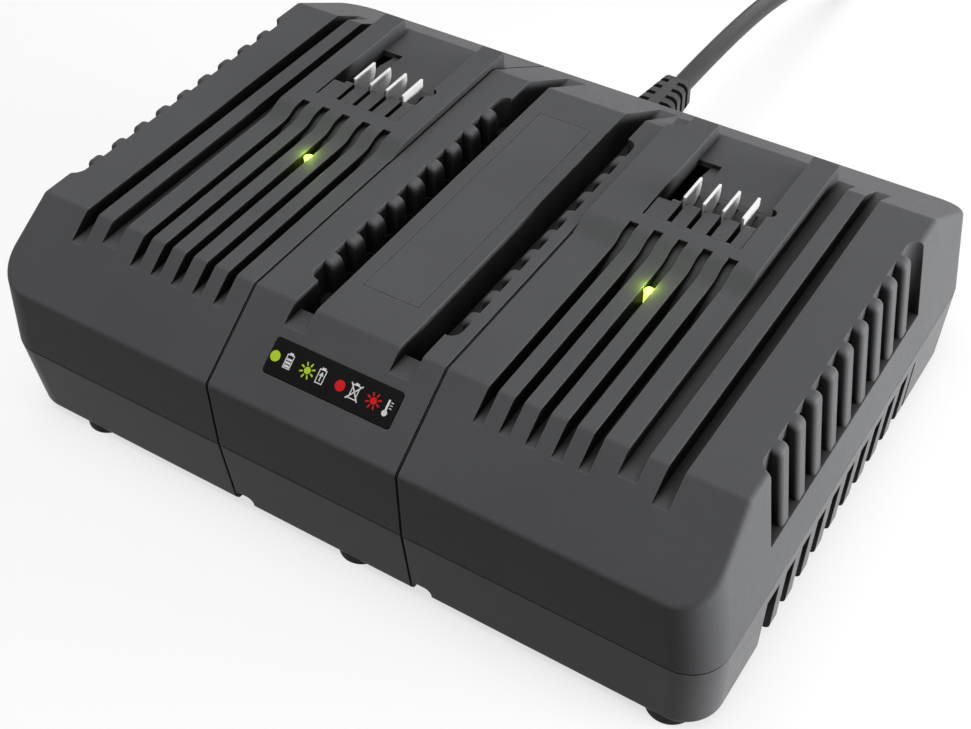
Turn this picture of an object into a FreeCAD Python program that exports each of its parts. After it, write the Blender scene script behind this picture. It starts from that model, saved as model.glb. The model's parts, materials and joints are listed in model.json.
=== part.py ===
import FreeCAD, Part
import math
import os

V = FreeCAD.Vector

# Overall form of the housing, in millimetres. The origin is on the floor under the middle of the body.
body_depth = 203.8
base_half_width = 135.2
side_lean = 5.9  # how far each side leans in between the parting line and the deck
body_height = 77.7  # tray bottom to deck
tray_height = 30.35  # tray bottom to parting line
tray_draft = 3.0  # how far the tray's front and back lean in at the bottom
tray_side_draft = 1.0  # the same for its two sides
tray_edge = 2.2  # rounding round the tray's bottom
corner_radius = 13.0
edge_round = 2.0  # rounding of the covers' outer edges
front_slope_run = 28.3
front_slope_drop = 20.2
back_slope_run = 37.8
back_slope_drop = 20.2
cover_wall = 2.5
tray_wall = 3.8
tray_side_wall = 8.0
tray_floor = 2.5
lip_height = 3.0
lip_thickness = 1.2
fit_gap = 0.2  # clearance between parts that slide together
through = 1.0  # how far a cutter or a fused part reaches past the face it meets
bite = 0.1  # the same for small parts
sunk = 0.5  # how far posts and blocks sink into the floor they stand on
near = 0.01  # tolerance for picking edges and faces

# Seams between the three covers
seam_left_x = -39.1
seam_right_x = 32.1
seam_gap = 0.3
seam_line_width = 1.0
seam_line_depth = 0.7
seam_flange = 6.5  # stiffening flange along each seam, below the wall
parting_line = 0.5
seam_notch_width = 7.5
seam_notch_height = 5.0
seam_notch_round = 2.5

# Battery bays
bay_pitch = 131.2
vent_start_x = 46.5  # left edge of the right bay's first vent
vent_count = 5
vent_pitch = 8.7
vent_width = 3.4
vent_depth = 6.6
vent_rise_run = 12.5  # stretch in which a vent's floor rises before the ramp
ramp_foot_y = -1.6
ramp_run = 10.0
ramp_rise = 2.5
ramp_vent_depth = 2.2
ramp_vent_overrun = 2.0  # how far a vent runs on past the ramp's top
plateau_end_y = 71.9
plateau_corner_x = 6.1  # corner cut off the right seat beside its seam
plateau_corner_y = 6.2
plateau_corner_slant = 3.3
recess_sill = 2.0  # recess floor's reach beyond the seat's back
seat_back_share = 0.4  # how far down the back slope the seat's back reaches

# Outer guide grooves of each bay
guide_x = 92.2
guide_width = 6.2
guide_depth = 4.8
rail_width = 6.0  # land between the two guide grooves
outer_guide_width = 5.2
outer_guide_depth = 6.8

# Connector recess in each plateau, measured from the bay's first vent
recess_left = 1.4
recess_width = 35.0
recess_front_y = 15.8
recess_drop = 2.6  # floor below the deck
recess_notch_radius = 2.2
recess_notch_start = 21.2  # behind the recess's front
recess_opening = 12.0  # how far the recess's openings reach below its floor
insert_length = 25.7
insert_flange = 1.6
finger_length = 13.0
finger_round = 2.0
finger_side_gap = 0.7
finger_front = 0.8  # web left in front of the fingers' slots
finger_top = 2.4  # above the deck
cable_hole_width = 5.0
cable_hole_length = 31.0
cable_hole_start = 10.2  # behind the recess's front
latch_width = 3.8
latch_length = 10.0
latch_depth = 1.6

# Terminal blades
blade_count = 4
blade_pitch = 6.9
blade_first = 8.9  # first blade's left face from the recess's left wall
blade_thickness = 0.8
blade_length = 12.1
blade_start = 11.2  # behind the recess's front
blade_stand = 5.1  # above the deck
blade_round = 6.0
slot_width = 1.8
blade_tail_start = 1.0  # behind the blade's front
blade_tail_end = 0.6  # before its rounded back

# Boards and indicators under each bay
bay_board_drop = 17.0  # board's top face below the deck
board_thickness = 1.6
bay_board_front_y = -22.0
bay_board_margin = 1.5
lens_radius = 1.7
lens_y = -12.1
lens_dome = 0.7
lens_collar = 1.6
lens_drop = 0.6  # top of the lens below the deck
led_height = 2.4
led_share = 0.8  # LED's half width as a share of the lens's radius
collar_gap = 1.0  # from the LED's top to the lens's collar

# Centre spine with its two air channels
spine_half_width = 15.5
channel_width = 8.1
channel_depth = 15.0
channel_entry_depth = 4.8
channel_entry_y = -71.6
panel_width = 20.2
panel_length = 105.4
panel_thickness = 1.2
panel_front_y = -56.6

# Louvres: the same rows stand along both sides and along both channels
fin_count = 9
fin_pitch = 11.42
fin_width = 5.8
fin_first_y = -51.1
fin_round = 1.6
side_fin_cap = 2.6
channel_fin_round = 1.4
channel_fin_cap = 3.4
louvre_front_y = -62.2
louvre_back_y = 51.5
side_louvre_depth = 4.0  # in from the deck's edge
side_louvre_drop = 29.5
side_fin_set_back = 0.5
side_fin_root = 3.0  # how far a bar reaches into the wall behind and below it
scoop_radius = 5.0
channel_louvre_depth = 4.0
channel_louvre_drop = 13.0
channel_fin_root = 2.0
channel_slot_margin = 0.6  # from the pocket's walls to its air slots
air_slot_side_gap = 0.4  # from a slot to the bars beside it
air_slot_sill = 1.5  # from the louvre's floor to its slots
air_slot_head = 4.5  # from the deck to the slots

# Ribs on the tray's sides
rib_count = 10
rib_pitch = 11.45
rib_width = 5.0
rib_first_y = -53.6
rib_depth = 5.8
rib_drop = 54.0  # where the ribs start, below the deck
least_rib_gap = 0.5

# Air slots in the tray's floor
slot_count = 7
slot_pitch = 8.0
slot_length = 30.0
bottom_slot_width = 2.6
slot_group_x = 66.0
slot_group_y = 24.0

# Status panel on the front slope, measured along the slope
status_width = 47.0
status_height = 11.6
status_start = 12.0  # down the slope from the deck's crease
status_thickness = 0.8
status_pocket = 0.5
status_count = 4
status_corner = 1.2
status_reach = 5.0  # height of the cutters above the slope
status_light_pitch = 12.2
status_light_radius = 1.6
status_board_gap = 7.0
status_board_width = 10.0
status_board_margin = 3.0
status_arm_radius = 2.0

# Feet, fasteners and posts
foot_height = 3.3
foot_radius = 8.0
foot_inset = 1.0
feet_x = [-104.0, 7.0, 120.0]
foot_edge = 0.8  # chamfer round its bottom
screw_radius = 1.5
screw_head_radius = 3.0
screw_head_height = 2.2
screw_engage = 12.0
screw_sink = 14.0
screw_end_gap = 1.0  # from a screw's end to its bore's
small_head_share = 0.9  # board screws' heads against case screws'
post_radius = 4.6
outer_post_inset = 18.2  # from the body's side
outer_post_y_inset = 39.9  # from the body's front or back
back_post_x = 52.0
back_post_inset = 17.9
centre_post_x = 22.0
status_post_left_x = -31.5
status_post_right_x = 26.0
front_post_inset = 19.9
stand_radius = 3.4
stand_height = 6.0
board_screw_length = 6.0

# Main board and what stands on it
board_length = 196.0
board_width = 128.0
board_hole_x = 90.0
board_hole_y = 56.0
core_length = 42.0
core_width = 34.0
core_height = 33.0
core_x = -8.0
core_y = -8.0
window_height = 21.0
winding_bulge = 5.0
can_radius = 11.0
can_height = 34.0
can_x = 52.0
can_y = 34.0
can_pitch = 25.0
can_edge = 1.2
sink_length = 62.0
sink_width = 20.0
sink_height = 30.0
sink_x = 62.0
sink_y = -34.0
sink_base = 3.0
sink_fin_count = 6
sink_fin = 1.4
device_width = 10.4
device_height = 15.5
device_thickness = 4.6
device_count = 3
device_stand = 6.0
leg_pitch = 2.5
leg_width = 0.8
leg_start = 2.0  # from the package's back
leg_thickness = 0.6
choke_radius = 13.0
choke_hole = 6.0
choke_height = 12.0
choke_x = -52.0
choke_y = 36.0
film_length = 18.0
film_width = 9.0
film_height = 15.0
film_x = -80.0
film_y = 36.0
fuse_radius = 2.6
fuse_length = 20.0
fuse_x = -24.0
fuse_y = 34.0
fuse_axis_height = 5.0
clip_inset = 3.0
clip_length = 4.0
clip_wall = 0.8
inlet_length = 16.0
inlet_width = 11.0
inlet_height = 12.0
inlet_y = 52.0
lead_radius = 1.3
lead_spread = 2.2
lead_run = 12.0

# Mains cord
cord_radius = 4.0
cord_exit_z = 41.6
boot_length = 37.1
boot_root_width = 18.0
boot_root_height = 15.6
boot_tip_width = 12.2
boot_tip_height = 12.0
boot_corner = 2.8
boot_slot_pitch = 5.4
boot_slot_width = 2.3
boot_slot_count = 5
boot_web_share = 0.3  # the web between the slots as a share of the boot's width
boot_core_wall = 0.7  # rubber round the cord inside the slots
boot_neck_radius = 5.6
boot_flange_radius = 7.4
boot_flange = 2.0
boot_hole_reach = 10.0
boot_clearance = 1.0  # round the flange, in the tray's lip
coil_first_radius = 55.5
coil_step = 9.0  # distance between neighbouring turns and layers
coil_turns_in = 5  # half turns that wind inwards
coil_climb_clearance = 2.0  # more room beside the half turn that climbs to the second layer
coil_last_radius = 68.0
coil_climb_peak = 1.5  # steepest against mean slope of a half turn that climbs
arc_share = 0.45  # part of a run that the arc at its end takes up
gap_spacing = 4.0  # between the points at which the coil's gaps are measured
gap_neighbours = 6  # cord diameters along the line that count as one stretch
plug_axis_z = 10.0
plug_half_width = 13.0
plug_length = 30.0
plug_sleeve = 14.0
plug_sleeve_radius = 5.6
plug_corner = 4.0
plug_back_edge = 2.5
plug_sleeve_flare = 2.0
pin_length = 16.5
pin_width = 6.35
pin_thickness = 1.5
pin_spacing = 12.7
pin_hole_radius = 1.6
pin_hole_inset = 4.0

# Route of the cord from the boot's end to the coil, chosen by hand
cord_route = [
    V(0, body_depth / 2 + boot_length, cord_exit_z),
    V(0, 196.0, cord_exit_z),
    V(1, 260.0, 31.0),
    V(5, 302.0, 11.0),
    V(10, 331.0, cord_radius),
    V(10, 350.0, cord_radius),
]

# Places that follow from the sizes above
tray_bottom_z = foot_height
deck_z = tray_bottom_z + body_height
parting_z = tray_bottom_z + tray_height
deck_half_width = base_half_width - side_lean
half_depth = body_depth / 2
front_crease_y = -half_depth + front_slope_run
back_crease_y = half_depth - back_slope_run
outer_post_x = base_half_width - outer_post_inset
outer_post_y = half_depth - outer_post_y_inset
back_post_y = half_depth - back_post_inset
front_post_y = front_post_inset - half_depth
foot_y = half_depth - tray_draft - foot_radius
air_slot_width = fin_pitch - fin_width - 2 * air_slot_side_gap
board_z = tray_bottom_z + tray_floor + stand_height
board_top_z = board_z + board_thickness
bay_board_top_z = deck_z - bay_board_drop
recess_floor_z = deck_z - recess_drop
slope_angle = math.atan2(front_slope_drop, front_slope_run)
bays = {"left": vent_start_x - bay_pitch, "right": vent_start_x}
far = 400.0  # longer than anything here


def box(x0, x1, y0, y1, z0, z1):
    return Part.makeBox(x1 - x0, y1 - y0, z1 - z0, V(x0, y0, z0))


def face_of(points):
    return Part.Face(Part.makePolygon(points + [points[0]]))


def prism_x(points, x0, x1):
    """A profile of (y, z) points, from x0 to x1."""
    return face_of([V(x0, y, z) for y, z in points]).extrude(V(x1 - x0, 0, 0))


def prism_y(points, y0, y1):
    """A profile of (x, z) points, from y0 to y1."""
    return face_of([V(x, y0, z) for x, z in points]).extrude(V(0, y1 - y0, 0))


def disc(radius, x, y, z0, z1):
    return Part.makeCylinder(radius, z1 - z0, V(x, y, z0))


def upright_edges(shape, keep):
    """The vertical edges whose middle passes the test."""
    found = []
    for edge in shape.Edges:
        a, b = edge.Vertexes[0].Point, edge.Vertexes[-1].Point
        if abs(a.x - b.x) < near and abs(a.y - b.y) < near and keep((a + b) * 0.5):
            found.append(edge)
    return found


def rounded_block(x0, x1, y0, y1, z0, z1, radius):
    block = box(x0, x1, y0, y1, z0, z1)
    return block.makeFillet(radius, upright_edges(block, lambda p: True))


def inset_profile(points, inset):
    """A convex profile, counter-clockwise, with every side moved in by the inset."""
    count = len(points)
    lines = []
    for i in range(count):
        (ax, ay), (bx, by) = points[i], points[(i + 1) % count]
        length = math.hypot(bx - ax, by - ay)
        nx, ny = -(by - ay) / length, (bx - ax) / length
        lines.append((ax + nx * inset, ay + ny * inset, bx - ax, by - ay))
    moved = []
    for i in range(count):
        ax, ay, adx, ady = lines[i - 1]
        bx, by, bdx, bdy = lines[i]
        cross = adx * bdy - ady * bdx
        t = ((bx - ax) * bdy - (by - ay) * bdx) / cross
        moved.append((ax + adx * t, ay + ady * t))
    return moved


def leaning_block(x0, x1, y0, y1, z0, z1, radius):
    """A block with rounded corners whose half widths change from the first to the second of each pair."""
    rims = []
    for x, y, z in ((x0, y0, z0), (x1, y1, z1)):
        rims.append(Part.makePolygon([V(-x, -y, z), V(x, -y, z), V(x, y, z), V(-x, y, z), V(-x, -y, z)]))
    block = Part.makeLoft(rims, True, True)
    corners = [e for e in block.Edges if abs(e.Vertexes[0].Point.z - e.Vertexes[-1].Point.z) > 1.0]
    return block.makeFillet(radius, corners)


def upper_form(inset):
    """The three covers' common outer form, or its inside, open below the parting line."""
    low = parting_z - through if inset else parting_z
    high = deck_z + through
    lean = side_lean / (deck_z - parting_z)
    reach = base_half_width - inset * math.hypot(1.0, lean)
    x0, x1 = reach - lean * (low - parting_z), reach - lean * (high - parting_z)
    y = half_depth - inset
    block = leaning_block(x0, x1, y, y, low, high, max(corner_radius - inset, 1.0))
    base = parting_z - far if inset else parting_z
    along = [
        (-half_depth, base),
        (half_depth, base),
        (half_depth, deck_z - back_slope_drop),
        (back_crease_y, deck_z),
        (front_crease_y, deck_z),
        (-half_depth, deck_z - front_slope_drop),
    ]
    return block.common(prism_x(inset_profile(along, inset), -far, far))


def rounded_upper_form():
    """The outer form with its top edges rounded."""
    form = upper_form(0.0)
    edges = []
    for face in form.Faces:
        if face.normalAt(0, 0).z > math.cos(math.pi / 3):
            edges += [e for e in face.Edges if not any(e.isSame(known) for known in edges)]
    return form.makeFillet(edge_round, edges)


def tray_block(inset_x, inset_y, low, high):
    """The tray's outer form, moved in by the insets, between two levels."""
    x = [base_half_width - inset_x - tray_side_draft * (parting_z - z) / tray_height for z in (low, high)]
    y = [half_depth - inset_y - tray_draft * (parting_z - z) / tray_height for z in (low, high)]
    return leaning_block(x[0], x[1], y[0], y[1], low, high, corner_radius - inset_y)


def tray_form():
    """The tray's outer form, rounded round its bottom."""
    form = tray_block(0.0, 0.0, tray_bottom_z, parting_z)
    rim = [e for e in form.Edges if max(v.Point.z for v in e.Vertexes) < tray_bottom_z + near]
    return form.makeFillet(tray_edge, rim)


def ramp_curve(x, drop):
    """The ramp's S-shaped line in a YZ plane: two equal arcs, tangent to both levels."""
    radius = (ramp_run**2 + ramp_rise**2) / (4 * ramp_rise)
    turn = 2 * math.atan2(ramp_rise, ramp_run)
    z0 = deck_z - drop
    y0, y1 = ramp_foot_y, ramp_foot_y + ramp_run
    sine, rise = radius * math.sin(turn / 2), radius * (1 - math.cos(turn / 2))
    middle = V(x, (y0 + y1) / 2, z0 + ramp_rise / 2)
    first = Part.Arc(V(x, y0, z0), V(x, y0 + sine, z0 + rise), middle)
    second = Part.Arc(middle, V(x, y1 - sine, z0 + ramp_rise - rise), V(x, y1, z0 + ramp_rise))
    return [first.toShape(), second.toShape()]


def profile_with_ramp(x0, x1, before, after, drop):
    """A solid whose profile is a list of points, then the ramp's line, then more points."""
    curve = ramp_curve(x0, drop)
    start = curve[0].Vertexes[0].Point
    end = curve[1].Vertexes[-1].Point
    head = [V(x0, y, z) for y, z in before] + [start]
    tail = [end] + [V(x0, y, z) for y, z in after] + [head[0]]
    edges = [Part.makeLine(a, b) for a, b in zip(head, head[1:])]
    edges += curve
    edges += [Part.makeLine(a, b) for a, b in zip(tail, tail[1:])]
    return Part.Face(Part.Wire(edges)).extrude(V(x1 - x0, 0, 0))


def plateau(x, x0, x1, corner):
    """The raised seat that a battery's foot slides over, with the recess floor's sill behind it."""
    low = deck_z - cover_wall
    top = deck_z + ramp_rise
    under = deck_z - back_slope_drop * seat_back_share
    before = [(ramp_foot_y, low)]
    after = [(plateau_end_y, top), (plateau_end_y, under), (back_crease_y - cover_wall, low)]
    seat = profile_with_ramp(x0, x1, before, after, 0.0)
    if corner:
        start = plateau_end_y - plateau_corner_y
        cut = face_of([
            V(x0 - through, start - plateau_corner_slant, deck_z),
            V(x0 + plateau_corner_x, start, deck_z),
            V(x0 + plateau_corner_x, far, deck_z),
            V(x0 - through, far, deck_z),
        ])
        seat = seat.cut(cut.extrude(V(0, 0, far)))
    sill = box(x + recess_left - through, x + recess_left + recess_width + through, plateau_end_y - through,
               plateau_end_y + recess_sill, under, recess_floor_z)
    return seat.fuse(sill)


def vent(x, grow):
    """One vent groove, deep on the deck and shallow over the ramp, grown for the wall under it."""
    x0, x1 = x - grow, x + vent_width + grow
    deep = deck_z - vent_depth - grow
    shallow = deck_z - ramp_vent_depth - grow
    end_y = ramp_foot_y + ramp_run + ramp_vent_overrun + grow
    before = [(-far, far), (-far, deep), (ramp_foot_y - vent_rise_run, deep)]
    after = [(end_y, shallow + ramp_rise), (end_y, far)]
    return profile_with_ramp(x0, x1, before, after, ramp_vent_depth + grow)


def guide_grooves(side, grow):
    """The two grooves outside a bay. Side is -1 or 1."""
    cuts = []
    outer_x = guide_x + guide_width + rail_width
    for x, width, depth in (
        (guide_x, guide_width, guide_depth),
        (outer_x, outer_guide_width, outer_guide_depth),
    ):
        ends = sorted([side * (x - grow), side * (x + width + grow)])
        cuts.append(box(ends[0], ends[1], -far, far, deck_z - depth - grow, far))
    return cuts


def channels(grow):
    """The two air channels beside the spine, with their shallow front ends."""
    cuts = []
    for side in (-1, 1):
        inner, outer = spine_half_width - grow, spine_half_width + channel_width + grow
        x0, x1 = sorted([side * inner, side * outer])
        deep = deck_z - channel_depth - grow
        entry = deck_z - channel_entry_depth - grow
        cuts.append(box(x0, x1, channel_entry_y - grow, far, deep, far))
        cuts.append(box(x0, x1, -far, channel_entry_y, entry, far))
    return cuts


def fin_places():
    return [fin_first_y + fin_pitch * i for i in range(fin_count)]


def side_pocket(side, grow):
    """A side louvre's pocket, from its inner wall outwards, with scooped ends."""
    inner = deck_half_width - side_louvre_depth - grow
    x0, x1 = sorted([side * inner, side * far])
    low = deck_z - side_louvre_drop - grow
    pocket = box(x0, x1, louvre_front_y - grow, louvre_back_y + grow, low, far)
    edges = upright_edges(pocket, lambda p: abs(abs(p.x) - inner) < near)
    return pocket.makeFillet(scoop_radius, edges)


def side_fins(side):
    """Upright bars that lean with the side, rounded on their outer edges."""
    lean = side_lean / (deck_z - parting_z)
    low = deck_z - side_louvre_drop - side_fin_root
    top_x = deck_half_width - side_fin_set_back
    low_x = top_x + lean * (deck_z - low)
    root = deck_half_width - side_louvre_depth - side_fin_root
    bars = []
    for y in fin_places():
        outline = [(root, low), (low_x, low), (top_x, deck_z), (root, deck_z)]
        bar = prism_y([(side * x, z) for x, z in outline], y - fin_width / 2, y + fin_width / 2)
        bars.append(knuckle(bar, side * top_x, root, side_fin_cap, fin_round, low))
    return bars


def knuckle(bar, x, root, cap, edge, low):
    """Round a bar's free top edge, and then the edges of its two sides down to a level."""
    top = [e for e in bar.Edges
           if all(abs(v.Point.x - x) < near and v.Point.z > deck_z - near for v in e.Vertexes)]
    bar = bar.makeFillet(cap, top)
    sides = []
    for e in bar.Edges:
        a, b = e.Vertexes[0].Point, e.Vertexes[-1].Point
        free = all(abs(p.x) != abs(root) or p.z > deck_z - near for p in (a, b))
        if abs(a.y - b.y) < near and free and max(a.z, b.z) > low + near:
            sides.append(e)
    return bar.makeFillet(edge, sides)


def side_air_slots(side):
    """Openings through the wall behind the side's bars."""
    wall_x = deck_half_width - side_louvre_depth
    x0, x1 = sorted([side * (wall_x - cover_wall - 2 * through), side * (wall_x + through)])
    slots = []
    for y in fin_places()[:-1]:
        middle = y + fin_pitch / 2
        z0, z1 = deck_z - side_louvre_drop + air_slot_sill, deck_z - air_slot_head
        slots.append(box(x0, x1, middle - air_slot_width / 2, middle + air_slot_width / 2, z0, z1))
    return slots


def side_louvre(side):
    """What is cut from a cover for one side's row of louvres."""
    gaps = side_pocket(side, 0.0).cut(side_fins(side))
    return [gaps] + side_air_slots(side)


def channel_pocket(side, grow):
    """A channel's louvre pocket lies outside its outer wall."""
    wall_x = spine_half_width + channel_width
    x0, x1 = sorted([side * (wall_x - through), side * (wall_x + channel_louvre_depth + grow)])
    z0 = deck_z - channel_louvre_drop - grow
    pocket = box(x0, x1, louvre_front_y - grow, louvre_back_y + grow, z0, far)
    outer = wall_x + channel_louvre_depth + grow
    edges = upright_edges(pocket, lambda p: abs(abs(p.x) - outer) < near)
    return pocket.makeFillet(channel_louvre_depth, edges)


def channel_louvre(side):
    """What is cut from the centre cover for one channel's row of louvres."""
    wall_x = spine_half_width + channel_width
    low = deck_z - channel_louvre_drop
    bars = []
    for y in fin_places():
        root = wall_x + channel_louvre_depth + channel_fin_root
        x0, x1 = sorted([side * wall_x, side * root])
        base = low - channel_fin_root
        bar = box(x0, x1, y - fin_width / 2, y + fin_width / 2, base, deck_z)
        bars.append(knuckle(bar, side * wall_x, root, channel_fin_cap, channel_fin_round, base))
    gaps = channel_pocket(side, 0.0).cut(bars)
    slots = []
    for y in fin_places()[:-1]:
        middle = y + fin_pitch / 2
        x0, x1 = sorted([side * (wall_x + channel_slot_margin),
                         side * (wall_x + channel_louvre_depth - channel_slot_margin)])
        z0 = low - cover_wall - through
        slots.append(box(x0, x1, middle - air_slot_width / 2, middle + air_slot_width / 2,
                         z0, low + through))
    return [gaps] + slots


def screw_places():
    """Where the covers are screwed to the tray: a cover's name and its (x, y) places."""
    return {
        "left": [
            (-outer_post_x, -outer_post_y),
            (-outer_post_x, outer_post_y),
            (-back_post_x, back_post_y),
        ],
        "centre": [
            (status_post_left_x, front_post_y),
            (status_post_right_x, front_post_y),
            (-centre_post_x, back_post_y),
            (centre_post_x, back_post_y),
        ],
        "right": [
            (outer_post_x, -outer_post_y),
            (outer_post_x, outer_post_y),
            (back_post_x, back_post_y),
        ],
    }


def cover_posts(places, inside):
    posts = [disc(post_radius, x, y, parting_z, deck_z) for x, y in places]
    return [p.common(inside) for p in posts]


def cover_bores(places):
    return [disc(screw_radius, x, y, parting_z - through, parting_z + screw_engage) for x, y in places]


def seam_lines(form, inner):
    """Shallow lines that run along each seam over the whole outer surface."""
    skin = form.cut(inner)
    lines = []
    for x in (seam_left_x, seam_right_x):
        slab = box(x - seam_line_width / 2, x + seam_line_width / 2, -far, far, 0, far)
        lines.append(skin.common(slab))
    return lines


def bay_board_outline(x):
    """The board under a bay: x and y limits."""
    x0 = x + recess_left + cable_hole_width + bay_board_margin
    x1 = x + recess_left + recess_width - bay_board_margin
    return x0, x1, bay_board_front_y, recess_front_y + insert_length + bay_board_margin


def bay_board_screws(x):
    x0, x1, y0, y1 = bay_board_outline(x)
    return [(x0 + stand_radius, y0 + stand_radius), (x1 - stand_radius, y0 + stand_radius)]


def recess_cuts(x):
    """The connector recess with its window, its cable hole and its latch pocket."""
    x0 = x + recess_left
    x1 = x0 + recess_width
    y0 = recess_front_y
    window_end = y0 + insert_length
    under = recess_floor_z - recess_opening
    hole_y = y0 + cable_hole_start
    latch_y = hole_y + cable_hole_length - latch_length
    return [
        box(x0, x1, y0, far, recess_floor_z, far),
        disc(recess_notch_radius, x1, y0 + recess_notch_start, recess_floor_z, far),
        box(x0, x1, y0, window_end, under, recess_floor_z + through),
        box(x0, x0 + cable_hole_width, hole_y, hole_y + cable_hole_length, under, recess_floor_z + through),
        prism_x(
            [
                (latch_y, recess_floor_z + bite),
                (latch_y + latch_length, recess_floor_z - latch_depth),
                (latch_y + latch_length, recess_floor_z + bite),
            ],
            x0 + cable_hole_width - sunk,
            x0 + cable_hole_width + latch_width,
        ),
    ]


def bay_cover(name, side, x0, x1, form, inside):
    """One bay's cover: a shell with its seat, grooves, recess and side louvres."""
    x = bays[name]
    seat = [max(-guide_x, x0), min(guide_x, x1)]
    slab = box(x0, x1, -far, far, 0, far)
    shell = form.common(slab).fuse(plateau(x, seat[0], seat[1], side > 0))
    inner_slab = box(x0 + cover_wall, x1 - cover_wall, -far, far, 0, far)
    hollow = inside.common(inner_slab).fuse(upper_form(cover_wall + seam_flange).common(slab))
    grown = [vent(x + vent_pitch * i, cover_wall) for i in range(vent_count)]
    grown += guide_grooves(side, cover_wall)
    grown.append(side_pocket(side, cover_wall))
    frame = recess_floor_z - cover_wall
    grown.append(box(x + recess_left - cover_wall, x + recess_left + recess_width + cover_wall,
                     recess_front_y - cover_wall, far, frame, far))
    shell = shell.cut(hollow.cut(grown))
    posts = cover_posts(screw_places()[name], form)
    for px, py in bay_board_screws(x):
        posts.append(disc(stand_radius, px, py, bay_board_top_z, deck_z - through))
    lens_x = lens_place(x)[0]
    collar_z = bay_board_top_z + led_height + collar_gap
    posts.append(disc(lens_radius + lens_collar, lens_x, lens_y, collar_z, deck_z - through))
    shell = shell.fuse(posts)
    cuts = [vent(x + vent_pitch * i, 0.0) for i in range(vent_count)]
    cuts += guide_grooves(side, 0.0)
    cuts += side_louvre(side)
    cuts += recess_cuts(x)
    cuts += cover_bores(screw_places()[name])
    cuts += [disc(screw_radius, px, py, bay_board_top_z - through, bay_board_top_z + board_screw_length)
             for px, py in bay_board_screws(x)]
    cuts.append(disc(lens_radius, lens_x, lens_y, bay_board_top_z, deck_z + through))
    return shell.cut(cuts)


def slope_place():
    """A placement on the front slope: X across, Y down the slope, Z out of the surface."""
    turn = FreeCAD.Rotation(V(1, 0, 0), math.degrees(slope_angle))
    return FreeCAD.Placement(V(0, front_crease_y, deck_z), turn)


def on_slope(shape):
    """Move a shape from (across, down the slope as -y, out of it) onto the front slope."""
    placed = shape.copy()
    placed.Placement = slope_place().multiply(placed.Placement)
    return placed


def status_block(grow, z0, z1):
    x = status_width / 2 + grow
    y0 = -status_start - status_height - grow
    y1 = -status_start + grow
    return on_slope(rounded_block(-x, x, y0, y1, z0, z1, status_corner))


def status_light_places():
    first = -status_light_pitch * (status_count - 1) / 2 - status_light_pitch / 4
    return [(first + status_light_pitch * i, -status_start - status_height / 2) for i in range(status_count)]


def status_board():
    lights = status_light_places()
    x0, x1 = lights[0][0] - status_board_margin, lights[-1][0] + status_board_margin
    y = lights[0][1]
    half = status_board_width / 2
    top = -cover_wall - status_board_gap
    plate = box(x0, x1, y - half, y + half, top - board_thickness, top)
    return on_slope(plate)


def centre_cover(x0, x1, form, inside):
    """The middle cover with its spine, channels, louvres and status pocket."""
    slab = box(x0, x1, -far, far, 0, far)
    shell = form.common(slab)
    inner_slab = box(x0 + cover_wall, x1 - cover_wall, -far, far, 0, far)
    grown = channels(cover_wall)
    grown += [channel_pocket(side, cover_wall) for side in (-1, 1)]
    hollow = inside.common(inner_slab).fuse(upper_form(cover_wall + seam_flange).common(slab))
    shell = shell.cut(hollow.cut(grown))
    posts = cover_posts(screw_places()["centre"], form)
    lights = status_light_places()
    arm_z = -cover_wall - status_board_gap
    for (ax, ay), (bx, by) in (lights[:2], lights[-2:]):
        arm = Part.makeCylinder(status_arm_radius, status_board_gap + through, V((ax + bx) / 2, ay, arm_z))
        posts.append(on_slope(arm))
    shell = shell.fuse(posts)
    cuts = channels(0.0)
    for side in (-1, 1):
        cuts += channel_louvre(side)
    cuts.append(status_block(fit_gap, -status_pocket, status_reach))
    for sx, sy in status_light_places():
        start = V(sx, sy, -cover_wall - through)
        depth = cover_wall + through + status_reach
        cuts.append(on_slope(Part.makeCylinder(status_light_radius, depth, start)))
    w, y0 = panel_width / 2 + fit_gap, panel_front_y - fit_gap
    cuts.append(box(-w, w, y0, y0 + panel_length + 2 * fit_gap, deck_z - panel_thickness, deck_z + through))
    cuts += cover_bores(screw_places()["centre"])
    start = V(0, half_depth - boot_hole_reach, cord_exit_z)
    cuts.append(Part.makeCylinder(boot_neck_radius + fit_gap / 4, 2 * boot_hole_reach, start, V(0, 1, 0)))
    return shell.cut(cuts)


def tray_rib_gaps(side):
    """Wedges cut between the ribs, deepest at the tray's bottom."""
    top_z = deck_z - rib_drop
    low = tray_bottom_z
    face_x = [base_half_width - tray_side_draft * (parting_z - z) / tray_height for z in (low, top_z)]
    outline = [
        (face_x[1], top_z),
        (face_x[0] - rib_depth, low),
        (far, low),
        (far, top_z),
    ]
    outline = [(side * x, z) for x, z in outline]
    starts = [louvre_front_y] + [rib_first_y + rib_pitch * i + rib_width for i in range(rib_count)]
    ends = [rib_first_y + rib_pitch * i for i in range(rib_count)] + [louvre_back_y + rib_width]
    gaps = []
    for y0, y1 in zip(starts, ends):
        if y1 - y0 > least_rib_gap:
            gaps.append(prism_y(outline, y0, y1))
    return gaps


def board_holes():
    return [(sx * board_hole_x, sy * board_hole_y) for sx in (-1, 1) for sy in (-1, 1)]


def all_screw_places():
    return [place for places in screw_places().values() for place in places]


def feet_places():
    return [(x, sy * foot_y) for sy in (-1, 1) for x in feet_x]


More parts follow.
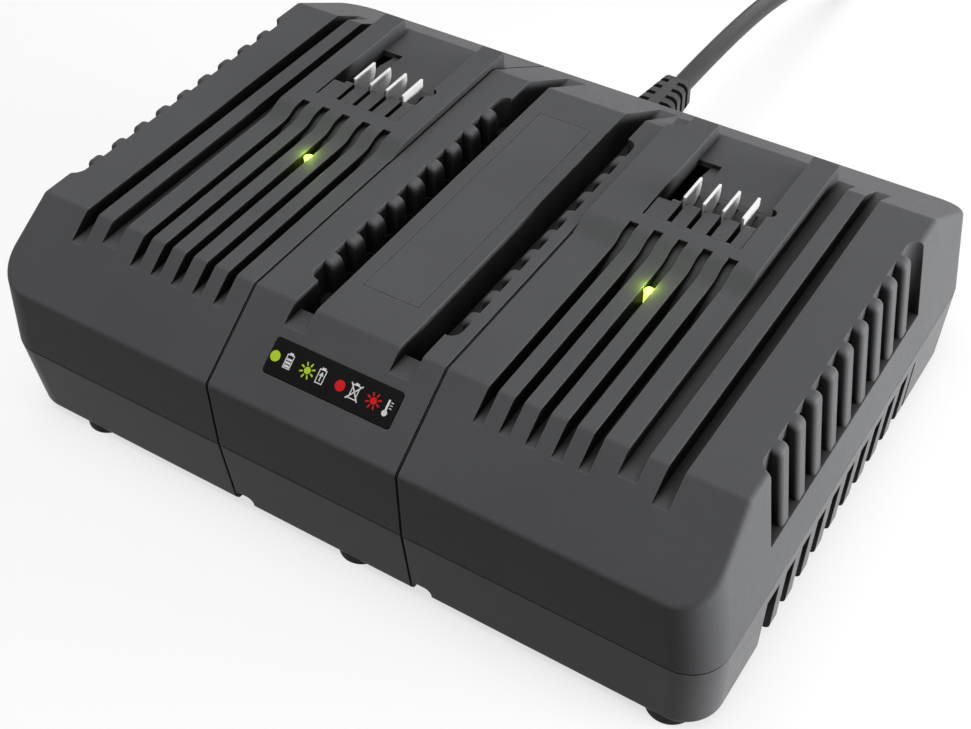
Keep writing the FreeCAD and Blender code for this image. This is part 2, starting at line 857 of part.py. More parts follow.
def base_tray():
    form = tray_form()
    hollow = tray_block(tray_side_wall, tray_wall, tray_bottom_z + tray_floor, parting_z + through)
    tray = form.cut(hollow)
    lip_out = cover_wall + fit_gap
    ring = upper_form(lip_out).cut(upper_form(lip_out + lip_thickness))
    ring = ring.common(box(-far, far, -far, far, 0, parting_z + lip_height))
    for x in (seam_left_x, seam_right_x):
        clear = cover_wall + seam_gap + fit_gap
        ring = ring.cut(box(x - clear, x + clear, -far, far, parting_z, far))
    hole_clear = boot_flange_radius + boot_clearance
    ring = ring.cut(box(-hole_clear, hole_clear, 0, far, parting_z, far))
    posts = [disc(post_radius, x, y, tray_bottom_z + sunk, parting_z) for x, y in all_screw_places()]
    floor_z = tray_bottom_z + tray_floor
    posts += [disc(stand_radius, x, y, floor_z - sunk, board_z) for x, y in board_holes()]
    tray = tray.fuse([ring] + posts)
    cuts = []
    for x, y in all_screw_places():
        cuts.append(disc(screw_radius + fit_gap, x, y, tray_bottom_z - through, parting_z + through))
        cuts.append(disc(screw_head_radius + fit_gap, x, y,
                         tray_bottom_z - through, tray_bottom_z + screw_sink))
    cuts += [disc(screw_radius, x, y, floor_z + through, board_z + through) for x, y in board_holes()]
    cuts += [disc(foot_radius + fit_gap, x, y, tray_bottom_z - through, tray_bottom_z + foot_inset)
             for x, y in feet_places()]
    for side in (-1, 1):
        cuts += tray_rib_gaps(side)
    inner = tray_block(seam_line_depth, seam_line_depth, tray_bottom_z - through, parting_z + through)
    cuts += seam_lines(form, inner)
    skin = form.cut(inner)
    cuts.append(skin.common(box(-far, far, -far, far, parting_z - parting_line, parting_z + through)))
    cuts += [seam_notch(x) for x in (seam_left_x, seam_right_x)]
    cuts += bottom_slots()
    return tray.cut(cuts)


def seam_notch(x):
    """An arch in the tray's front wall beside a seam's lower end."""
    back = tray_draft + tray_wall - through - half_depth
    low = tray_bottom_z - seam_notch_height
    notch = box(x, x + seam_notch_width, -far, back, low, tray_bottom_z + seam_notch_height)
    arch = [e for e in notch.Edges if abs(e.Vertexes[0].Point.y - e.Vertexes[-1].Point.y) > 1.0]
    return notch.makeFillet(seam_notch_round, arch)


def bottom_slots():
    """Two groups of air slots through the tray's floor."""
    slots = []
    for side in (-1, 1):
        for i in range(slot_count):
            x = side * slot_group_x + (i - (slot_count - 1) / 2) * slot_pitch
            slots.append(box(x - bottom_slot_width / 2, x + bottom_slot_width / 2,
                             slot_group_y - slot_length, slot_group_y,
                             tray_bottom_z - through, tray_bottom_z + tray_floor + through))
    return slots


def rubber_feet():
    feet = []
    for x, y in feet_places():
        foot = disc(foot_radius, x, y, 0.0, foot_height + foot_inset)
        rim = [e for e in foot.Edges if abs(e.CenterOfMass.z) < near and e.Length > foot_radius]
        feet.append(foot.makeChamfer(foot_edge, rim))
    return feet


def case_screws():
    seat_z = tray_bottom_z + screw_sink
    screws = []
    for x, y in all_screw_places():
        head = disc(screw_head_radius, x, y, seat_z - screw_head_height, seat_z)
        shank = disc(screw_radius, x, y, seat_z - bite, parting_z + screw_engage - screw_end_gap)
        screws.append(head.fuse(shank).removeSplitter())
    return screws


def small_screws(places, seat_z, length, up):
    """Board screws: heads on the seat, shanks going up or down from it."""
    screws = []
    radius = screw_head_radius * small_head_share
    for x, y in places:
        if up:
            head = disc(radius, x, y, seat_z - screw_head_height, seat_z)
            shank = disc(screw_radius, x, y, seat_z - bite, seat_z + length)
        else:
            head = disc(radius, x, y, seat_z, seat_z + screw_head_height)
            shank = disc(screw_radius, x, y, seat_z - length, seat_z + bite)
        screws.append(head.fuse(shank).removeSplitter())
    return screws


def terminal_insert(x):
    """The moulded insert in a recess's window: a floor plate, a flange below it and slotted fingers."""
    x0 = x + recess_left
    x1 = x0 + recess_width
    y0 = recess_front_y
    y1 = y0 + insert_length
    gap = fit_gap
    floor = recess_floor_z
    under = floor - cover_wall
    plate = box(x0 + gap, x1 - gap, y0 + gap, y1 - gap, under, floor)
    reach = insert_flange
    flange = box(x0 - reach, x1 + reach, y0 - reach, y1 + reach, under - insert_flange, under)
    top = deck_z + finger_top
    side_gap = finger_side_gap
    fingers = box(x0 + side_gap, x1 - gap, y0 + gap, y0 + finger_length, floor - sunk, top)
    back = [e for e in fingers.Edges if min(v.Point.z for v in e.Vertexes) > top - near
            and min(v.Point.y for v in e.Vertexes) > y0 + finger_length - near]
    fingers = fingers.makeFillet(finger_round, back)
    insert = plate.fuse([flange, fingers])
    hole_y = y0 + cable_hole_start
    cuts = [box(x0 - reach - through, x0 + cable_hole_width + gap, hole_y, far, 0, top + through)]
    for i in range(blade_count):
        bx = x0 + blade_first + blade_pitch * i
        middle = bx + blade_thickness / 2
        cuts.append(box(middle - slot_width / 2, middle + slot_width / 2, y0 + finger_front,
                        y0 + finger_length + through, floor, top + through))
        cuts.append(box(bx, bx + blade_thickness, y0 + blade_start, y0 + blade_start + blade_length,
                        under - insert_flange - through, floor + bite))
    return insert.cut(cuts).removeSplitter()


def terminal_blades(x):
    """Upright contact blades that pass through the insert down to the bay's board."""
    blades = []
    low = bay_board_top_z
    for i in range(blade_count):
        bx = x + recess_left + blade_first + blade_pitch * i
        y0 = recess_front_y + blade_start
        top = deck_z + blade_stand
        blade = box(bx, bx + blade_thickness, y0, y0 + blade_length, recess_floor_z, top)
        back = [e for e in blade.Edges if min(v.Point.y for v in e.Vertexes) > y0 + blade_length - near
                and max(v.Point.z for v in e.Vertexes) < recess_floor_z + near]
        blade = blade.makeFillet(blade_round, back)
        tail_end = y0 + blade_length - blade_round - blade_tail_end
        tail = box(bx, bx + blade_thickness, y0 + blade_tail_start, tail_end, low, recess_floor_z + bite)
        blades.append(blade.fuse(tail).removeSplitter())
    return blades


def lens_place(x):
    return x + vent_pitch * (vent_count // 2) + vent_width / 2, lens_y


def bay_light_pipe(x):
    """A clear rod with a domed end that shows in the middle vent."""
    lx, ly = lens_place(x)
    low = bay_board_top_z + led_height
    top = deck_z - lens_drop
    rod = disc(lens_radius, lx, ly, low, top - lens_dome)
    radius = (lens_radius**2 + lens_dome**2) / (2 * lens_dome)
    ball = Part.makeSphere(radius, V(lx, ly, top - radius))
    dome = ball.common(box(-far, far, -far, far, top - lens_dome - near, top + through))
    return rod.fuse(dome).removeSplitter()


def bay_board(x):
    x0, x1, y0, y1 = bay_board_outline(x)
    board = box(x0, x1, y0, y1, bay_board_top_z - board_thickness, bay_board_top_z)
    cuts = [disc(screw_radius, px, py, 0, far) for px, py in bay_board_screws(x)]
    return board.cut(cuts)


def bay_leds():
    leds = []
    for x in bays.values():
        lx, ly = lens_place(x)
        half = lens_radius * led_share
        top = bay_board_top_z + led_height
        leds.append(box(lx - half, lx + half, ly - half, ly + half, bay_board_top_z, top))
    return leds


def status_panel():
    """A thin printed window that lies in the pocket on the front slope."""
    return status_block(0.0, -status_pocket, status_thickness - status_pocket)


def status_lights():
    """Small light guides between the status board and its window."""
    top = -status_pocket
    low = -cover_wall - status_board_gap
    guides = []
    for sx, sy in status_light_places():
        rod = Part.makeCylinder(status_light_radius - fit_gap / 2, top - low, V(sx, sy, low))
        guides.append(on_slope(rod))
    return guides


def spine_panel():
    w = panel_width / 2
    plate = box(-w, w, panel_front_y, panel_front_y + panel_length, deck_z - panel_thickness, deck_z)
    return plate


def main_board():
    x, y = board_length / 2, board_width / 2
    board = box(-x, x, -y, y, board_z, board_top_z)
    return board.cut([disc(screw_radius, px, py, 0, far) for px, py in board_holes()])


def transformer_core():
    """A square core with a window on each side of its middle limb."""
    z0 = board_top_z
    length, width = core_length, core_width
    core = box(core_x - length / 2, core_x + length / 2, core_y - width / 2, core_y + width / 2,
               z0, z0 + core_height)
    limb = length / 4
    yoke = (core_height - window_height) / 2
    cuts = []
    for side in (-1, 1):
        x0, x1 = sorted([core_x + side * limb / 2, core_x + side * (length / 2 - limb / 2)])
        cuts.append(box(x0, x1, -far, far, z0 + yoke, z0 + core_height - yoke))
    return core.cut(cuts)


def transformer_winding():
    """The coil round the middle limb, filling the windows."""
    limb = core_length / 4
    yoke = (core_height - window_height) / 2
    z0 = board_top_z + yoke + fit_gap
    z1 = board_top_z + core_height - yoke - fit_gap
    x = core_length / 2 - limb / 2 - fit_gap
    y = core_width / 2 + winding_bulge
    outer = rounded_block(core_x - x, core_x + x, core_y - y, core_y + y, z0, z1, winding_bulge)
    hole_x = limb / 2 + fit_gap
    hole_y = core_width / 2 + fit_gap
    return outer.cut(box(core_x - hole_x, core_x + hole_x, core_y - hole_y, core_y + hole_y,
                         z0 - through, z1 + through))


def winding_feet():
    """Two bobbin feet that carry the winding on the board."""
    limb = core_length / 4
    yoke = (core_height - window_height) / 2
    feet = []
    for side in (-1, 1):
        y0, y1 = sorted([core_y + side * (core_width / 2 + fit_gap),
                         core_y + side * (core_width / 2 + winding_bulge)])
        feet.append(box(core_x - limb, core_x + limb, y0, y1, board_top_z, board_top_z + yoke + fit_gap))
    return feet


def bulk_capacitors():
    cans = []
    for i in (-1, 1):
        can = disc(can_radius, can_x + i * can_pitch / 2, can_y, board_top_z, board_top_z + can_height)
        rim = [e for e in can.Edges if abs(e.CenterOfMass.z - board_top_z - can_height) < near]
        cans.append(can.makeChamfer(can_edge, rim))
    return cans


def heat_sink(side):
    """A finned extrusion that stands on the board, its back towards the middle."""
    x = side * sink_x
    z0, z1 = board_top_z, board_top_z + sink_height
    base = box(x - sink_length / 2, x + sink_length / 2, sink_y, sink_y + sink_base, z0, z1)
    fins = []
    spacing = (sink_length - sink_fin) / (sink_fin_count - 1)
    for i in range(sink_fin_count):
        fx = x - sink_length / 2 + spacing * i
        fins.append(box(fx, fx + sink_fin, sink_y - sink_width + sink_base, sink_y + bite, z0, z1))
    return base.fuse(fins).removeSplitter()


def power_devices():
    """Flat packages screwed to the back of the heat sinks, standing on their leads."""
    devices = []
    y0 = sink_y + sink_base
    spacing = sink_length / device_count
    for side in (-1, 1):
        for i in range(device_count):
            x = side * sink_x + (i - (device_count - 1) / 2) * spacing
            z0 = board_top_z + device_stand
            body = box(x - device_width / 2, x + device_width / 2, y0, y0 + device_thickness,
                       z0, z0 + device_height)
            legs = []
            for leg_x in (x - leg_pitch, x, x + leg_pitch):
                legs.append(box(leg_x - leg_width / 2, leg_x + leg_width / 2,
                                y0 + leg_start, y0 + leg_start + leg_thickness, board_top_z, z0 + bite))
            devices.append(body.fuse(legs).removeSplitter())
    return devices


def filter_choke():
    """A wound ring core that stands on edge on the board."""
    x, y, z = choke_x, choke_y, board_top_z + choke_radius
    start = V(x, y - choke_height / 2, z)
    ring = Part.makeCylinder(choke_radius, choke_height, start, V(0, 1, 0))
    return ring.cut(Part.makeCylinder(choke_hole, choke_height, start, V(0, 1, 0)))


def film_capacitor():
    return box(film_x - film_length / 2, film_x + film_length / 2, film_y - film_width / 2,
               film_y + film_width / 2, board_top_z, board_top_z + film_height)


def mains_fuse():
    """A glass fuse with two end clips."""
    z = board_top_z + fuse_axis_height
    tube = Part.makeCylinder(fuse_radius, fuse_length, V(fuse_x - fuse_length / 2, fuse_y, z), V(1, 0, 0))
    clips = []
    for side in (-1, 1):
        cx = fuse_x + side * (fuse_length / 2 - clip_inset)
        reach = fuse_radius + clip_wall
        clips.append(box(cx - clip_length / 2, cx + clip_length / 2, fuse_y - reach, fuse_y + reach,
                         board_top_z, z))
    return tube.fuse(clips).removeSplitter()


def mains_terminal():
    return box(-inlet_length / 2, inlet_length / 2, inlet_y - inlet_width / 2, inlet_y + inlet_width / 2,
               board_top_z, board_top_z + inlet_height)


def tangent_path(points, show=None):
    """Straight runs joined by tangent arcs, each as large as its two runs allow."""
    edges = []
    start = points[0]
    for i in range(1, len(points) - 1):
        a, b, c = points[i - 1], points[i], points[i + 1]
        into, out = (b - a).normalize(), (c - b).normalize()
        turn = into.getAngle(out)
        shorter = min((b - a).Length, (c - b).Length)
        cut_back = arc_share * shorter
        radius = cut_back / math.tan(turn / 2)
        if show:
            print(show, "arc radius", round(radius, 1))
        first, last = b - into * cut_back, b + out * cut_back
        inward = (out - into).normalize()
        centre = b + inward * (radius / math.cos(turn / 2))
        edges.append(Part.LineSegment(start, first).toShape())
        edges.append(Part.Arc(first, centre - inward * radius, last).toShape())
        start = last
    edges.append(Part.LineSegment(start, points[-1]).toShape())
    return Part.Wire(edges)


def tube(path, radius):
    """A round tube along a path of lines and arcs."""
    start = path.OrderedEdges[0]
    at = start.valueAt(start.FirstParameter)
    along = start.tangentAt(start.FirstParameter)
    section = Part.Wire([Part.Circle(at, along, radius).toShape()])
    solid = path.makePipeShell([section], True, False)
    return solid


def mains_leads():
    """Two insulated leads from the boot's flange to the inlet terminal."""
    leads = []
    start_y = half_depth - cover_wall - boot_flange
    end_y = inlet_y + inlet_width / 2
    end_z = board_top_z + inlet_height / 2
    for side in (-1, 1):
        x = side * lead_spread
        points = [
            V(x, start_y, cord_exit_z),
            V(x, start_y - lead_run, cord_exit_z),
            V(x, end_y + lead_run, end_z),
            V(x, end_y, end_z),
        ]
        leads.append(tube(tangent_path(points), lead_radius))
    return leads


def boot_section(width, height, y):
    """A rounded rectangle across the cord's axis."""
    x, z = width / 2, height / 2
    block = box(-x, x, y, y + through, cord_exit_z - z, cord_exit_z + z)
    lengthwise = [e for e in block.Edges if abs(e.Vertexes[0].Point.y - e.Vertexes[-1].Point.y) > 0.5]
    block = block.makeFillet(boot_corner, lengthwise)
    ends = [f for f in block.Faces if abs(f.CenterOfMass.y - y) < near]
    return ends[0].OuterWire


def cord_boot():
    """The tapered boot that carries the cord out of the back wall, slotted so that it bends."""
    wall_y = half_depth
    inner_y = wall_y - cover_wall
    axis = V(0, 1, 0)
    root = boot_section(boot_root_width, boot_root_height, wall_y)
    tip = boot_section(boot_tip_width, boot_tip_height, wall_y + boot_length)
    block = Part.makeLoft([root, tip], True, True)
    centre = V(0, wall_y, cord_exit_z)
    core = Part.makeCylinder(cord_radius + boot_core_wall, boot_length + through, centre, axis)
    slots = []
    for i in range(boot_slot_count):
        y1 = wall_y + boot_length - boot_slot_pitch * (i + 1) + boot_slot_width
        share = (y1 - wall_y) / boot_length
        web = (boot_root_width + (boot_tip_width - boot_root_width) * share) * boot_web_share / 2
        for side in (-1, 1):
            x0, x1 = sorted([side * web, side * boot_root_width])
            slots.append(box(x0, x1, y1 - boot_slot_width, y1, 0, far).cut(core))
    neck = Part.makeCylinder(boot_neck_radius, cover_wall + bite, V(0, inner_y, cord_exit_z), axis)
    flange_at = V(0, inner_y - boot_flange, cord_exit_z)
    flange = Part.makeCylinder(boot_flange_radius, boot_flange, flange_at, axis)
    return block.cut(slots).fuse([neck, flange]).removeSplitter()


def mains_cord():
    path = tangent_path(cord_route, "cord")
    solid = tube(path, cord_radius)
    share = solid.Volume / (math.pi * cord_radius**2 * path.Length)
    print("cord length", round(path.Length, 1), "volume against section times length", round(share, 4))
    return solid


def biarc(p1, t1, p2, t2):
    """Two tangent arcs from p1 along t1 to p2 along t2."""
    v = p2 - p1
    t = t1 + t2
    a = 2 * (1 - t1.dot(t2))
    b = v.dot(t)
    d = v.dot(v) / (2 * b) if a < 1e-9 else (-2 * b + math.sqrt(4 * b * b + 4 * a * v.dot(v))) / (2 * a)
    middle = (p1 + p2 + (t1 - t2) * d) * 0.5
    edges = []
    for start, along, end in ((p1, t1, middle), (p2, t2 * -1, middle)):
        chord = end - start
        across = along - chord * (along.dot(chord) / chord.dot(chord))
        bulge = chord.Length / 2 * math.tan(along.getAngle(chord) / 2)
        top = (start + end) * 0.5 + across.normalize() * bulge
        arc = Part.Arc(start, top, end) if start == p1 else Part.Arc(end, top, start)
        edges.append(arc.toShape())
    return edges


def coil_radii():
    """Radii of the half turns: inwards, one that climbs, outwards, and the last wide one."""
    half = coil_step / 2
    inwards = [coil_first_radius - half * i for i in range(coil_turns_in)]
    climb = coil_first_radius - half * coil_turns_in
    first = climb + half / 2 + coil_climb_clearance
    outwards = [first + half * i for i in range(coil_turns_in - 1)]
    return inwards, climb, outwards


def coil_stations():
    """Points and directions at every quarter turn, as (point, direction)."""
    inwards, climb, outwards = coil_radii()
    radii = inwards + [climb] + outwards + [coil_last_radius]
    start = cord_route[-1] + V(0, 2 * cord_radius, 0)
    low, high = cord_radius, cord_radius + coil_step
    levels = [low] * (len(inwards) + 1) + [high] * (len(outwards) + 1) + [plug_axis_z]
    stations = [(V(start.x, start.y, low), V(0, 1, 0))]
    x, heading = start.x, 1
    for i, radius in enumerate(radii):
        z0, z1 = levels[i], levels[i + 1]
        slope = (z1 - z0) / (math.pi * radius) * coil_climb_peak
        middle = V(x - heading * radius, start.y + heading * radius, (z0 + z1) / 2)
        stations.append((middle, V(-heading, 0, slope).normalize()))
        x -= heading * 2 * radius
        heading = -heading
        stations.append((V(x, start.y, z1), V(0, heading, 0)))
    return stations


def coil_path():
    stations = coil_stations()
    tail = 2 * cord_radius
    edges = [Part.makeLine(cord_route[-1], stations[0][0])]
    for (p1, t1), (p2, t2) in zip(stations, stations[1:]):
        edges += biarc(p1, t1, p2, t2)
    last, heading = stations[-1]
    edges.append(Part.makeLine(last, last + heading * tail))
    return Part.Wire(edges)


def least_gap(path, diameter):
    """The least distance between the tube's surface and itself, on points along its path."""
    points = path.discretize(Distance=gap_spacing)
    skip = int(gap_neighbours * diameter / gap_spacing)
    nearest = far
    for i, p in enumerate(points):
        for q in points[i + skip:]:
            nearest = min(nearest, (p - q).Length)
    return nearest - diameter


def cord_coil():
    path = coil_path()
    print("coil length", round(path.Length, 1), "least gap", round(least_gap(path, 2 * cord_radius), 2))
    return tube(path, cord_radius)


def plug_start():
    last, heading = coil_stations()[-1]
    return last + heading * (2 * cord_radius)


def plug_body():
    """A moulded two-blade plug that lies on the floor, its cord end towards the coil."""
    at = plug_start()
    y0 = at.y - plug_sleeve
    root = plug_sleeve_radius + plug_sleeve_flare
    sleeve = Part.makeCone(plug_sleeve_radius, root, plug_sleeve + through, at, V(0, -1, 0))
    half = plug_half_width
    body = box(at.x - half, at.x + half, y0 - plug_length, y0, 0.0, 2 * plug_axis_z)
    edges = [e for e in body.Edges if abs(e.Vertexes[0].Point.y - e.Vertexes[-1].Point.y) > 1.0]
    body = body.makeFillet(plug_corner, edges)
    back = [e for e in body.Edges if min(v.Point.y for v in e.Vertexes) > y0 - near]
    body = body.makeChamfer(plug_back_edge, back)
    return body.fuse(sleeve).removeSplitter()


def plug_pins():
    at = plug_start()
    y1 = at.y - plug_sleeve - plug_length
    pins = []
    for side in (-1, 1):
        x = at.x + side * pin_spacing / 2
        z = plug_axis_z
        pin = box(x - pin_thickness / 2, x + pin_thickness / 2, y1 - pin_length, y1,
                  z - pin_width / 2, z + pin_width / 2)
        start = V(x - pin_thickness, y1 - pin_length + pin_hole_inset, z)
        hole = Part.makeCylinder(pin_hole_radius, 2 * pin_thickness, start, V(1, 0, 0))
        pins.append(pin.cut(hole))
    return pins


def save(name, shape):
    """Write one sub-part, a solid or a group of separate solids."""
    if isinstance(shape, list):
        shape = Part.makeCompound([s for item in shape for s in item.Solids])
    solids = shape.Solids
    shape = solids[0] if len(solids) == 1 else Part.makeCompound(solids)
    shape.exportStep("parts/" + name + ".step")
    print(name, len(solids), "solids, volume", round(shape.Volume / 1000, 2), "cm3, valid", shape.isValid())


def build():
    os.makedirs("parts", exist_ok=True)
    form, inside = rounded_upper_form(), upper_form(cover_wall)
    skin_lines = seam_lines(form, upper_form(seam_line_depth))
    half_gap = seam_gap / 2
    left = bay_cover("left", -1, -far, seam_left_x - half_gap, form, inside)
    right = bay_cover("right", 1, seam_right_x + half_gap, far, form, inside)
    centre = centre_cover(seam_left_x + half_gap, seam_right_x - half_gap, form, inside)
    save("left_bay_cover", left.cut(skin_lines))
    save("right_bay_cover", right.cut(skin_lines))
    save("centre_cover", centre.cut(skin_lines))
    save("base_tray", base_tray())
    save("rubber_feet", rubber_feet())
    save("case_screws", case_screws())
    save("spine_panel", spine_panel())
    save("status_panel", status_panel())
    save("status_light_guides", status_lights())
    save("status_board", status_board())
    for name, x in bays.items():
        save(name + "_terminal_insert", terminal_insert(x))
        save(name + "_terminal_blades", terminal_blades(x))
        save(name + "_light_pipe", bay_light_pipe(x))
        save(name + "_bay_board", bay_board(x))
    save("bay_leds", bay_leds())
    bay_screws = [place for x in bays.values() for place in bay_board_screws(x)]
    seat_z, length = bay_board_top_z - board_thickness, board_screw_length - screw_end_gap
    save("bay_board_screws", small_screws(bay_screws, seat_z, length, True))
    save("main_board", main_board())
    save("main_board_screws", small_screws(board_holes(), board_top_z, board_screw_length, False))
    save("transformer_core", transformer_core())
    save("transformer_winding", transformer_winding().fuse(winding_feet()).removeSplitter())
    save("bulk_capacitors", bulk_capacitors())
    save("left_heat_sink", heat_sink(-1))
    save("right_heat_sink", heat_sink(1))
    save("power_devices", power_devices())
    save("filter_choke", filter_choke())
    save("film_capacitor", film_capacitor())
    save("mains_fuse", mains_fuse())
    save("mains_terminal", mains_terminal())
    save("mains_leads", mains_leads())
    save("strain_relief", cord_boot())
    save("mains_cord", mains_cord())
    save("cord_coil", cord_coil())
    save("plug_body", plug_body())
    save("plug_blades", plug_pins())


build()
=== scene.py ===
import json
import math

import bpy
import bmesh
from mathutils import Matrix, Vector


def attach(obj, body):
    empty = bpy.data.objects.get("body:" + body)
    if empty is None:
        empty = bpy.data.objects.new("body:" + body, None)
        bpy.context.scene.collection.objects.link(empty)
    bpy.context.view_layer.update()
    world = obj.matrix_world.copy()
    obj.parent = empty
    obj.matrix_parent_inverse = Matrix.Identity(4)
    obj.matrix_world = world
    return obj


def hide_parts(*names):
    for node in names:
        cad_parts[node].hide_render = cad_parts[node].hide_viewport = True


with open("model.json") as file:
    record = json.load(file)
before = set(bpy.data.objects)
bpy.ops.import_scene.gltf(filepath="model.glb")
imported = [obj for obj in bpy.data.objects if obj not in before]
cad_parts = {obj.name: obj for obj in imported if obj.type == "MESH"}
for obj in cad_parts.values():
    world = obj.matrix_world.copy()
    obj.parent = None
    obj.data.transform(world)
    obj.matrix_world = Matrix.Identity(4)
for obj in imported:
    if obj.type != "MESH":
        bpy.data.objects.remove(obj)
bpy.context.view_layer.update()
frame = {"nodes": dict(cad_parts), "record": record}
nodes = frame["nodes"]
MM = 0.001

# Sizes that the pieces here share with the solids, in millimetres
deck_z = 81.0
front_crease_y = -73.6
front_slope_run = 28.3
front_slope_drop = 20.2
slope_angle = math.atan2(front_slope_drop, front_slope_run)
light_x = 65.6  # the two green lights, left and right of the middle
light_y = -12.1
cord_radius = 4.0
cord_exit = (0.0, 139.0, 41.6)
coil_step = 9.0
coil_first_radius = 55.5
coil_turns_in = 5  # half turns on the floor, before the one that climbs
coil_turns_out = 4  # half turns on top
coil_climb_clearance = 2.0
coil_last_radius = 68.0
coil_points_per_turn = 6
plug_axis_z = 10.0

# Noise scales and ramp ends that the finishes share
mottle_scale = 26.0
scuff_scale = 420.0
grime_scale = 60.0
flat_dot, sharp_dot = 0.995, 0.85  # how far a rounded normal turns away from a flat's and at an edge
closed_hollow, open_hollow = 0.32, 0.86  # share of open sky deep in a groove and on a flat, the ends of the painted shade in hollows
hollow_darkest = 0.1


# Node helpers

def new_material(name):
    mat = bpy.data.materials.new(name)
    mat.use_nodes = True
    tree = mat.node_tree
    shader = tree.nodes["Principled BSDF"]
    return mat, tree, shader


def noise(tree, coords, scale, detail=3.0, rough=0.55):
    made = tree.nodes.new("ShaderNodeTexNoise")
    made.inputs["Scale"].default_value = scale
    made.inputs["Detail"].default_value = detail
    made.inputs["Roughness"].default_value = rough
    tree.links.new(coords, made.inputs["Vector"])
    return made.outputs["Fac"]


def ramp(tree, value, low, high, low_out, high_out):
    made = tree.nodes.new("ShaderNodeMapRange")
    made.inputs["From Min"].default_value = low
    made.inputs["From Max"].default_value = high
    made.inputs["To Min"].default_value = low_out
    made.inputs["To Max"].default_value = high_out
    tree.links.new(value, made.inputs["Value"])
    return made.outputs["Result"]


def math_node(tree, operation, a, b):
    made = tree.nodes.new("ShaderNodeMath")
    made.operation = operation
    for i, value in enumerate((a, b)):
        if isinstance(value, (int, float)):
            made.inputs[i].default_value = value
        else:
            tree.links.new(value, made.inputs[i])
    return made.outputs[0]


def mix_colour(tree, factor, first, second):
    made = tree.nodes.new("ShaderNodeMix")
    made.data_type = "RGBA"
    for i, value in ((6, first), (7, second)):
        if isinstance(value, (list, tuple)):
            made.inputs[i].default_value = (*value, 1.0)
        else:
            tree.links.new(value, made.inputs[i])
    if isinstance(factor, (int, float)):
        made.inputs[0].default_value = factor
    else:
        tree.links.new(factor, made.inputs[0])
    return made.outputs[2]


def object_coords(tree):
    return tree.nodes.new("ShaderNodeTexCoord").outputs["Object"]


def edge_mask(tree, radius):
    """1 near sharp edges and 0 on flats, from how far a rounded normal turns away."""
    rounded = tree.nodes.new("ShaderNodeBevel")
    rounded.samples = 4
    rounded.inputs["Radius"].default_value = radius
    flat = tree.nodes.new("ShaderNodeNewGeometry")
    dot = tree.nodes.new("ShaderNodeVectorMath")
    dot.operation = "DOT_PRODUCT"
    tree.links.new(rounded.outputs["Normal"], dot.inputs[0])
    tree.links.new(flat.outputs["Normal"], dot.inputs[1])
    mask = ramp(tree, dot.outputs["Value"], flat_dot, sharp_dot, 0.0, 1.0)
    return mask, rounded.outputs["Normal"]


def painted_hollow_shade(tree, reach):
    """Painted shade: darkens the colour in narrow grooves and recesses, where little light comes."""
    shade = tree.nodes.new("ShaderNodeAmbientOcclusion")
    shade.samples = 6
    shade.inputs["Distance"].default_value = reach
    return ramp(tree, shade.outputs["AO"], closed_hollow, open_hollow, hollow_darkest, 1.0)


def shades(base, dark, light):
    """A colour's darker and lighter neighbours."""
    return [c * dark for c in base], [c * light for c in base]


def scale_colour(tree, colour, factor):
    made = tree.nodes.new("ShaderNodeVectorMath")
    made.operation = "SCALE"
    tree.links.new(colour, made.inputs[0])
    tree.links.new(factor, made.inputs["Scale"])
    return made.outputs["Vector"]


def moulded_plastic(name, base, rough, grain=2600.0, grain_depth=0.00004, edge=2.0, edge_radius=0.0005,
                    shine=0.06, reach=0.012):
    """Spark-textured plastic: fine grain, slow mottling, faint scuffs, slightly polished edges lightened in
    colour as part wear and part painted highlight, and painted shade in grooves and recesses.
    """
    mat, tree, shader = new_material(name)
    coords = object_coords(tree)
    fine = noise(tree, coords, grain, 4.0, 0.6)
    slow = noise(tree, coords, mottle_scale, 3.0, 0.5)
    scuff = noise(tree, coords, scuff_scale, 6.0, 0.7)
    mask, rounded = edge_mask(tree, edge_radius)
    colour = mix_colour(tree, ramp(tree, slow, 0.3, 0.7, 0.0, 1.0), *shades(base, 0.9, 1.1))
    speckle = mix_colour(tree, ramp(tree, fine, 0.35, 0.7, 0.0, 1.0), *shades(base, 0.86, 1.12))
    colour = mix_colour(tree, 0.5, colour, speckle)
    # Edges lighter in colour: partly rubbed wear, partly a painted highlight where light glances off the
    # rounded edges.
    worn_and_highlit_edge = [min(c * edge + 0.004, 1.0) for c in base]
    edge_wear_and_highlight = math_node(tree, "MULTIPLY", mask, ramp(tree, scuff, 0.25, 0.6, 0.45, 0.95))
    colour = mix_colour(tree, edge_wear_and_highlight, colour, worn_and_highlit_edge)
    # Painted shade: the colour is darkened in grooves and recesses, where little light comes.
    colour = scale_colour(tree, colour, painted_hollow_shade(tree, reach))
    tree.links.new(colour, shader.inputs["Base Color"])
    roughness = ramp(tree, scuff, 0.3, 0.75, rough - 0.05, rough + 0.06)
    roughness = math_node(tree, "SUBTRACT", roughness, math_node(tree, "MULTIPLY", edge_wear_and_highlight, 0.12))
    tree.links.new(roughness, shader.inputs["Roughness"])
    bump = tree.nodes.new("ShaderNodeBump")
    bump.inputs["Strength"].default_value = 0.55
    bump.inputs["Distance"].default_value = grain_depth
    tree.links.new(fine, bump.inputs["Height"])
    tree.links.new(rounded, bump.inputs["Normal"])
    tree.links.new(bump.outputs["Normal"], shader.inputs["Normal"])
    shader.inputs["Specular IOR Level"].default_value = shine
    return mat


